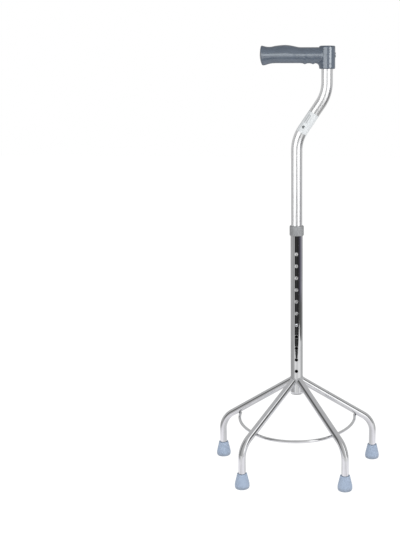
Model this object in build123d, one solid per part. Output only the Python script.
from build123d import *
import os
from math import asin, cos, degrees, radians, sin, sqrt, tan

# Quad walking cane, real size, millimetres.
# Frame: +Z up, z = 0 is the floor, and x = y = 0 is the middle of the four feet's footprint.
# The two wide feet are on the +Y side, the two narrow ones on the -Y side, and the handle
# points towards -X. The base is one welded frame, the handle tube slides in its upright, and
# a snap button holds the handle tube at one of the upright's holes.

# Upright: the lower tube, fixed to the legs.
TUBE_Y = 46.0                 # the upright's axis, behind the middle of the footprint
LOWER_R = 12.7
LOWER_WALL = 0.9
LOWER_BOTTOM = 158.6
LOWER_TOP = 515.0
PLUG_FLANGE = 1.2             # thickness of the plug's visible flange
PLUG_DEPTH = 9.0
PLUG_WALL = 2.0
PLUG_FLOOR = 1.5
PLUG_EDGE = 0.4
HOLE_R = 3.4
HOLE_PITCH = 25.0
HOLE_COUNT = 11
LOWEST_HOLE = 209.4
SET_HOLE = 4                  # the button's hole, counted from 0 at the lowest one

# Collar on the upright's mouth.
COLLAR_BOTTOM = 497.0
COLLAR_TOP = 517.3
COLLAR_R = 14.75
COLLAR_TOP_EDGE = 2.2
COLLAR_LOW_EDGE = 1.2

# Handle tube: cranked, so that the handle's middle is above the base.
UPPER_R = 11.5
UPPER_WALL = 1.5
UPPER_BOTTOM = 297.0
UPPER_TOP = 866.0
CRANK_LOW = 694.0             # height of the crank's lower corner
CRANK_HIGH = 783.0            # height of its upper corner
CRANK_SHIFT = 60.6            # sideways step of the crank
CRANK_BEND = 75.0             # bend radius of the tube's centre line
BUSH_FLANGE = 1.5
BUSH_DEPTH = 6.0
BUSH_BORE_R = 7.0
BUSH_EDGE = 0.6

# Legs: four equal tubes, welded round the upright.
LEG_R = 7.5
LEG_WALL = 1.2
LEG_REACH = 168.0             # from the upright's axis to a foot's axis
LEG_START_Z = 193.0           # where a leg's centre line would meet the upright's axis
LEG_SLOPE = 32.7              # degrees below level
LEG_BEND = 45.0
LEG_END_Z = 8.0
LEG_COPE_DEPTH = 40.0         # how far below the upright a leg is still cut back to it
CUT = 200.0                   # edge of the blocks that cut away what is not wanted
LEG_ANGLES = {                # direction of each leg seen from above, degrees from +X
    "rear_right": 13.8,
    "rear_left": 180.0 - 13.8,
    "front_left": -180.0 + 51.8,
    "front_right": -51.8,
}

# Brace hoop: a rod bent to three arcs, welded under all four legs.
HOOP_R = 3.0
HOOP_FRONT_R = 100.0          # bend radius across the front
HOOP_SIDE_R = 187.0           # bend radius along each side
HOOP_HALF_WIDTH = 124.0
HOOP_WIDEST_Y = TUBE_Y + 25.0
HOOP_FRONT_Y = TUBE_Y - 135.0
HOOP_END_Y = TUBE_Y + 34.0
WELD_SINK = 0.3               # how far the rod is pressed into the legs by the welds
REAR_WELD_REACH = 127.7       # from the upright's axis to the welds under the rear legs
FRONT_WELD_REACH = 125.8

# Feet: rubber tips with a steel washer under the leg's end.
FOOT_HEIGHT = 30.6
FOOT_TOP_R = 10.2
FOOT_WIDE_R = 15.0
FOOT_WIDE_Z = 10.5
FOOT_SOLE_R = 13.3
FOOT_LOWER = (0.5, 3.6)       # how far the bulge is inside its widest radius, at this height
FOOT_NECK_R = 12.7            # halfway up the cone
FOOT_NECK_Z = 19.6
FOOT_RIM = 2.0                # height of the straight rim
TREAD_RINGS = (4.5, 8.5)      # mean radii of the sole's grooves
TREAD_WIDTH = 1.4
TREAD_DEPTH = 1.0
WASHER_THICK = 1.6
WASHER_BORE_R = 3.2

# Handle: one moulding with a round grip and an upright hub.
HUB_X = CRANK_SHIFT
HUB_R = 16.0
HUB_BOTTOM = 832.0
HUB_TOP = 876.9
HUB_CAP_THICK = 2.4
HUB_CAP_EDGE = 2.0
HUB_EDGE = 1.0
SOCKET_TOP = 868.0
GRIP_PROFILE = (              # x, top, bottom and half width of the grip's oval sections
    (52.0, 874.4, 843.4, 12.8),
    (40.75, 874.4, 843.3, 12.8),
    (36.6, 874.4, 842.3, 12.8),
    (32.5, 874.4, 841.3, 12.8),
    (28.4, 874.4, 842.2, 12.8),
    (24.25, 874.4, 842.9, 12.9),
    (20.1, 874.4, 842.2, 12.9),
    (16.0, 874.4, 841.3, 13.0),
    (11.9, 874.4, 842.3, 13.0),
    (7.75, 874.4, 843.3, 13.1),
    (-5.0, 876.5, 843.4, 13.4),
    (-22.0, 878.7, 843.4, 13.9),
    (-38.0, 877.7, 843.4, 13.9),
    (-54.0, 875.4, 842.2, 13.9),
    (-64.0, 876.5, 839.6, 15.0),
    (-71.9, 877.9, 838.9, 16.2),
    (-73.0, 877.2, 839.6, 15.5),
    (-73.4, 876.0, 840.8, 14.3),
)

# Screw that pins the hub to the tube, and the threaded block in the tube's top end.
SCREW_Z = 859.3
SCREW_R = 2.5
SCREW_HEAD_R = 4.9
SCREW_HEAD_THICK = 2.6
SCREW_PROUD = 1.0
SCREW_HEAD_EDGE = 1.0
SCREW_CROSS = (5.6, 1.2)      # length and width of its cross recess
SCREW_CROSS_DEPTH = 1.2
SCREW_INNER = 6.0             # how far its tip is past the hub's axis
BLOCK_BOTTOM = 852.0

# Snap button on its leaf spring, inside the handle tube.
BUTTON_R = 3.1
BUTTON_PROUD = 1.6            # how far the button stands out of the upright
BUTTON_EDGE = 1.8
BUTTON_HEAD_R = 4.2
BUTTON_HEAD_THICK = 1.0
BUTTON_HEAD_Y = 8.7           # outer face of the head, from the tube's axis
LEAF_WIDTH = 8.0
LEAF_THICK = 0.5
LEAF_BEND = 1.5
LEAF_TOP = 44.0               # the fold's height over the button
LEAF_SHOULDER = (3.0, 34.0)   # half width and height where the two arms start to spread
LEAF_NEAR = (-5.0, 7.0)       # lower and upper end of the flat behind the button
LEAF_FAR = (8.2, 2.0)         # where the far arm ends, on the tube's other wall

# Paper sleeve round the crank.
LABEL_THICK = 0.15
LABEL_ON_BEND = 0.19          # share of the lower bend that it covers
LABEL_ON_SLOPE = 0.65         # share of the sloping run that it covers

button_z = LOWEST_HOLE + SET_HOLE * HOLE_PITCH
lower_bore_r = LOWER_R - LOWER_WALL
upper_bore_r = UPPER_R - UPPER_WALL
hub_split = HUB_TOP - HUB_CAP_THICK
upright = Pos(0, TUBE_Y, 0)

os.makedirs("parts", exist_ok=True)


def save(solid, node, colour):
    """Write one sub-part under its node's name."""
    solid.label = node
    solid.color = Color(*colour)
    export_step(solid, f"parts/{node}.step")


def rod(radius, low, high):
    """An upright cylinder between two heights."""
    return Pos(0, 0, low) * Cylinder(radius, high - low, align=(Align.CENTER, Align.CENTER, Align.MIN))


def pipe(path, radius, wall):
    """A round tube swept along a path."""
    start = Plane(origin=path @ 0, z_dir=path % 0)
    outside = sweep(start * Circle(radius), path=path)
    inside = sweep(start * Circle(radius - wall), path=path)
    return outside - inside


def along_x(radius, start, end, height):
    """A cylinder along +X at a given height over the upright's axis."""
    return Pos(start, 0, height) * Rot(0, 90, 0) * rod(radius, 0, end - start)


def towards_front(radius, start, end, height):
    """A cylinder along -Y at a given height, from start to end off the upright's axis."""
    return Pos(0, -start, height) * Rot(90, 0, 0) * rod(radius, 0, end - start)


# Upright, its plug and its collar.
def make_lower_tube():
    tube = rod(LOWER_R, LOWER_BOTTOM, LOWER_TOP) - rod(lower_bore_r, LOWER_BOTTOM, LOWER_TOP)
    for i in range(HOLE_COUNT):
        height = LOWEST_HOLE + i * HOLE_PITCH
        tube -= towards_front(HOLE_R, 5.0, LOWER_R + 2.0, height)
    return tube


def make_plug():
    stem = rod(lower_bore_r, LOWER_BOTTOM, LOWER_BOTTOM + PLUG_DEPTH)
    flange = rod(LOWER_R, LOWER_BOTTOM - PLUG_FLANGE, LOWER_BOTTOM)
    flange = chamfer(flange.edges().group_by(Axis.Z)[0], PLUG_EDGE)
    hollow = rod(lower_bore_r - PLUG_WALL, LOWER_BOTTOM + PLUG_FLOOR, LOWER_BOTTOM + PLUG_DEPTH)
    return stem + flange - hollow


def make_collar():
    body = rod(COLLAR_R, COLLAR_BOTTOM, COLLAR_TOP)
    body = fillet(body.edges().group_by(Axis.Z)[-1], COLLAR_TOP_EDGE)
    body = fillet(body.edges().group_by(Axis.Z)[0], COLLAR_LOW_EDGE)
    socket = rod(LOWER_R, COLLAR_BOTTOM, LOWER_TOP)
    mouth = rod(lower_bore_r, LOWER_TOP, COLLAR_TOP)
    return body - socket - mouth


# Legs, hoop and feet.
def make_leg(angle):
    """One leg, coped to the upright; its lower end stands upright in the foot."""
    corner_z = LEG_START_Z - LEG_REACH * tan(radians(LEG_SLOPE))
    points = [(0, 0, LEG_START_Z), (LEG_REACH, 0, corner_z), (LEG_REACH, 0, LEG_END_Z)]
    leg = pipe(FilletPolyline(*points, radius=LEG_BEND), LEG_R, LEG_WALL)
    leg -= rod(LOWER_R, LOWER_BOTTOM - LEG_COPE_DEPTH, LOWER_TOP)
    leg -= Pos(-CUT / 2, 0, LEG_START_Z) * Box(CUT, CUT, CUT)
    return Rot(0, 0, angle) * leg


def split_side(leg, angle, neighbour):
    """Trim a leg at the plane midway to its neighbour, where the two tubes meet."""
    middle = (angle + neighbour) / 2
    side = 1 if neighbour > angle else -1
    beyond = Rot(0, 0, middle) * Pos(0, side * CUT / 2, LEG_START_Z) * Box(CUT, CUT, CUT)
    return leg - beyond


def make_legs():
    legs = {}
    for name, angle in LEG_ANGLES.items():
        across = name.replace("rear", "front") if "rear" in name else name.replace("front", "rear")
        neighbour = LEG_ANGLES[across]
        if neighbour - angle > 180:
            neighbour -= 360
        if angle - neighbour > 180:
            neighbour += 360
        legs[name] = upright * split_side(make_leg(angle), angle, neighbour)
    return legs


def make_hoop(legs):
    """Front arc, side arc and their mirror image, tipped to touch all four legs."""
    front_centre = Vector(0, HOOP_FRONT_Y + HOOP_FRONT_R)
    side_centre = Vector(HOOP_HALF_WIDTH - HOOP_SIDE_R, HOOP_WIDEST_Y)
    joint = front_centre + (front_centre - side_centre).normalized() * HOOP_FRONT_R
    front = Vector(0, HOOP_FRONT_Y)
    widest = Vector(HOOP_HALF_WIDTH, HOOP_WIDEST_Y)
    end_x = side_centre.X + sqrt(HOOP_SIDE_R ** 2 - (HOOP_END_Y - HOOP_WIDEST_Y) ** 2)
    end = Vector(end_x, HOOP_END_Y)
    right_front = RadiusArc(front, joint, -HOOP_FRONT_R)
    right_side = ThreePointArc(joint, widest, end)
    half = Wire([right_front, right_side])
    path = Wire([*half.edges(), *half.mirror(Plane.YZ).edges()])
    level = sweep(Plane(origin=path @ 0, z_dir=path % 0) * Circle(HOOP_R), path=path)

    # The legs' undersides are a little lower at the rear welds than at the front ones.
    drop = (LEG_R + HOOP_R) / cos(radians(LEG_SLOPE)) - WELD_SINK
    slope = tan(radians(LEG_SLOPE))
    rear_y = TUBE_Y + REAR_WELD_REACH * sin(radians(LEG_ANGLES["rear_right"]))
    front_y = TUBE_Y + FRONT_WELD_REACH * sin(radians(LEG_ANGLES["front_right"]))
    rear_z = LEG_START_Z - REAR_WELD_REACH * slope - drop
    front_z = LEG_START_Z - FRONT_WELD_REACH * slope - drop
    tip = degrees(asin((rear_z - front_z) / (rear_y - front_y)))
    hoop = Pos(0, rear_y, rear_z) * Rot(tip, 0, 0) * Pos(0, -rear_y, 0) * level
    for leg in legs.values():
        hoop -= leg
    return hoop


def foot_place(angle):
    return upright * Rot(0, 0, angle) * Pos(LEG_REACH, 0, 0)


def make_foot(angle):
    """A bell-shaped rubber tip with a blind socket and a grooved sole."""
    sole = Line((0, 0), (FOOT_SOLE_R, 0))
    bulge = (FOOT_WIDE_R - FOOT_LOWER[0], FOOT_LOWER[1])
    lower = ThreePointArc((FOOT_SOLE_R, 0), bulge, (FOOT_WIDE_R, FOOT_WIDE_Z))
    neck = Spline(
        (FOOT_WIDE_R, FOOT_WIDE_Z),
        (FOOT_NECK_R, FOOT_NECK_Z),
        (FOOT_TOP_R, FOOT_HEIGHT - FOOT_RIM),
        tangents=((0, 1), (-0.25, 1)),
    )
    rim = Polyline(neck @ 1, (FOOT_TOP_R, FOOT_HEIGHT), (0, FOOT_HEIGHT), (0, 0))
    section = make_face([*sole.edges(), *lower.edges(), *neck.edges(), *rim.edges()])
    foot = revolve(Plane.XZ * section, Axis.Z)
    foot -= rod(LEG_R, LEG_END_Z - WASHER_THICK, FOOT_HEIGHT)
    for ring in TREAD_RINGS:
        foot -= rod(ring + TREAD_WIDTH / 2, 0, TREAD_DEPTH) - rod(ring - TREAD_WIDTH / 2, 0, TREAD_DEPTH)
    return foot_place(angle) * foot


def make_washer(angle):
    disc = rod(LEG_R, LEG_END_Z - WASHER_THICK, LEG_END_Z) - rod(WASHER_BORE_R, 0, LEG_END_Z)
    return foot_place(angle) * disc


# Handle tube with its bush and its label.
def crank_path():
    points = [
        (0, 0, UPPER_BOTTOM),
        (0, 0, CRANK_LOW),
        (CRANK_SHIFT, 0, CRANK_HIGH),
        (CRANK_SHIFT, 0, UPPER_TOP),
    ]
    return FilletPolyline(*points, radius=CRANK_BEND)


def make_upper_tube():
    tube = pipe(crank_path(), UPPER_R, UPPER_WALL)
    tube -= towards_front(HOLE_R, 5.0, UPPER_R + 2.0, button_z)
    tube -= along_x(SCREW_R, HUB_X, HUB_X + UPPER_R + 2.0, SCREW_Z)
    return tube


def make_bush():
    flange = rod(UPPER_R, UPPER_BOTTOM - BUSH_FLANGE, UPPER_BOTTOM)
    flange = chamfer(flange.edges().group_by(Axis.Z)[0], BUSH_EDGE)
    stem = rod(upper_bore_r, UPPER_BOTTOM, UPPER_BOTTOM + BUSH_DEPTH)
    bore = rod(BUSH_BORE_R, UPPER_BOTTOM - BUSH_FLANGE, UPPER_BOTTOM + BUSH_DEPTH)
    return flange + stem - bore


def make_label():
    """A thin sleeve that starts on the lower bend and runs up the slope."""
    bend, slope = crank_path().edges().sort_by(Axis.Z)[1:3]
    path = Wire([bend.trim(1.0 - LABEL_ON_BEND, 1.0), slope.trim(0.0, LABEL_ON_SLOPE)])
    return pipe(path, UPPER_R + LABEL_THICK, LABEL_THICK)


# Handle, its cap and its fastening.
def make_handle():
    sections = []
    for x, top, bottom, half_width in GRIP_PROFILE:
        middle = Plane(origin=(x, 0, (top + bottom) / 2), x_dir=(0, 1, 0), z_dir=(1, 0, 0))
        sections.append(middle * Ellipse(half_width, (top - bottom) / 2))
    grip = loft(sections, ruled=True)
    hub = Pos(HUB_X, 0, 0) * rod(HUB_R, HUB_BOTTOM, hub_split)
    hub = fillet(hub.edges().group_by(Axis.Z)[0], HUB_EDGE)
    body = hub + grip
    body -= Pos(HUB_X, 0, 0) * rod(UPPER_R, HUB_BOTTOM, hub_split)
    body -= along_x(SCREW_R, HUB_X, HUB_X + HUB_R + 2.0, SCREW_Z)
    head_seat = HUB_X + HUB_R + SCREW_PROUD - SCREW_HEAD_THICK
    body -= along_x(SCREW_HEAD_R, head_seat, HUB_X + HUB_R + 2.0, SCREW_Z)
    return body


def make_hub_cap():
    disc = rod(HUB_R, hub_split, HUB_TOP)
    disc = fillet(disc.edges().group_by(Axis.Z)[-1], HUB_CAP_EDGE)
    stem = rod(UPPER_R, SOCKET_TOP, hub_split)
    return Pos(HUB_X, 0, 0) * (disc + stem)


def make_screw():
    head_seat = HUB_X + HUB_R + SCREW_PROUD - SCREW_HEAD_THICK
    head = along_x(SCREW_HEAD_R, head_seat, head_seat + SCREW_HEAD_THICK, SCREW_Z)
    head = fillet(head.edges().group_by(Axis.X)[-1], SCREW_HEAD_EDGE)
    shank = along_x(SCREW_R, HUB_X - SCREW_INNER, head_seat, SCREW_Z)
    length, width = SCREW_CROSS
    middle = Pos(head_seat + SCREW_HEAD_THICK, 0, SCREW_Z)
    cross = middle * Box(2 * SCREW_CROSS_DEPTH, width, length)
    cross += middle * Box(2 * SCREW_CROSS_DEPTH, length, width)
    return head + shank - cross


def make_screw_block():
    block = Pos(HUB_X, 0, 0) * rod(upper_bore_r, BLOCK_BOTTOM, UPPER_TOP)
    return block - along_x(SCREW_R, HUB_X - SCREW_INNER, HUB_X + UPPER_R, SCREW_Z)


# Snap button and its spring.
def make_button():
    inner = BUTTON_HEAD_Y - BUTTON_HEAD_THICK
    head = towards_front(BUTTON_HEAD_R, inner, BUTTON_HEAD_Y, button_z)
    pin = towards_front(BUTTON_R, BUTTON_HEAD_Y, LOWER_R + BUTTON_PROUD, button_z)
    pin = fillet(pin.edges().sort_by(Axis.Y)[0], BUTTON_EDGE)
    return head + pin


def make_spring():
    """A leaf folded to a narrow hairpin: one arm behind the button, one on the far wall."""
    near = -(BUTTON_HEAD_Y - BUTTON_HEAD_THICK - LEAF_THICK / 2)
    spread, shoulder = LEAF_SHOULDER
    side_points = [
        (near, LEAF_NEAR[0]),
        (near, LEAF_NEAR[1]),
        (-spread, shoulder),
        (0.0, LEAF_TOP),
        (spread, shoulder),
        LEAF_FAR,
    ]
    path = FilletPolyline(*[(0, y, button_z + z) for y, z in side_points], radius=LEAF_BEND)
    start = Plane(origin=path @ 0, x_dir=(1, 0, 0), z_dir=path % 0)
    return sweep(start * Rectangle(LEAF_WIDTH, LEAF_THICK), path=path)


CHROME = (0.80, 0.81, 0.82)
ALUMINIUM = (0.78, 0.79, 0.80)
HANDLE_GREY = (0.33, 0.37, 0.42)
COLLAR_GREY = (0.50, 0.50, 0.51)
FOOT_BLUE = (0.60, 0.68, 0.78)
STEEL = (0.60, 0.60, 0.60)
PAPER = (0.88, 0.89, 0.91)

save(upright * make_lower_tube(), "lower_tube", CHROME)
save(upright * make_plug(), "lower_tube_plug", COLLAR_GREY)
save(upright * make_collar(), "tube_collar", COLLAR_GREY)

all_legs = make_legs()
for leg_name, leg_angle in LEG_ANGLES.items():
    save(all_legs[leg_name], f"leg_{leg_name}", CHROME)
    save(make_foot(leg_angle), f"foot_{leg_name}", FOOT_BLUE)
    save(make_washer(leg_angle), f"foot_washer_{leg_name}", STEEL)
save(make_hoop(all_legs), "brace_hoop", CHROME)

save(upright * make_upper_tube(), "upper_tube", ALUMINIUM)
save(upright * make_bush(), "upper_tube_bush", COLLAR_GREY)
save(upright * make_label(), "tube_label", PAPER)
save(upright * make_handle(), "handle_grip", HANDLE_GREY)
save(upright * make_hub_cap(), "hub_cap", HANDLE_GREY)
save(upright * make_screw(), "handle_screw", STEEL)
save(upright * make_screw_block(), "screw_block", STEEL)
save(upright * make_button(), "snap_button", STEEL)
save(upright * make_spring(), "button_spring", STEEL)
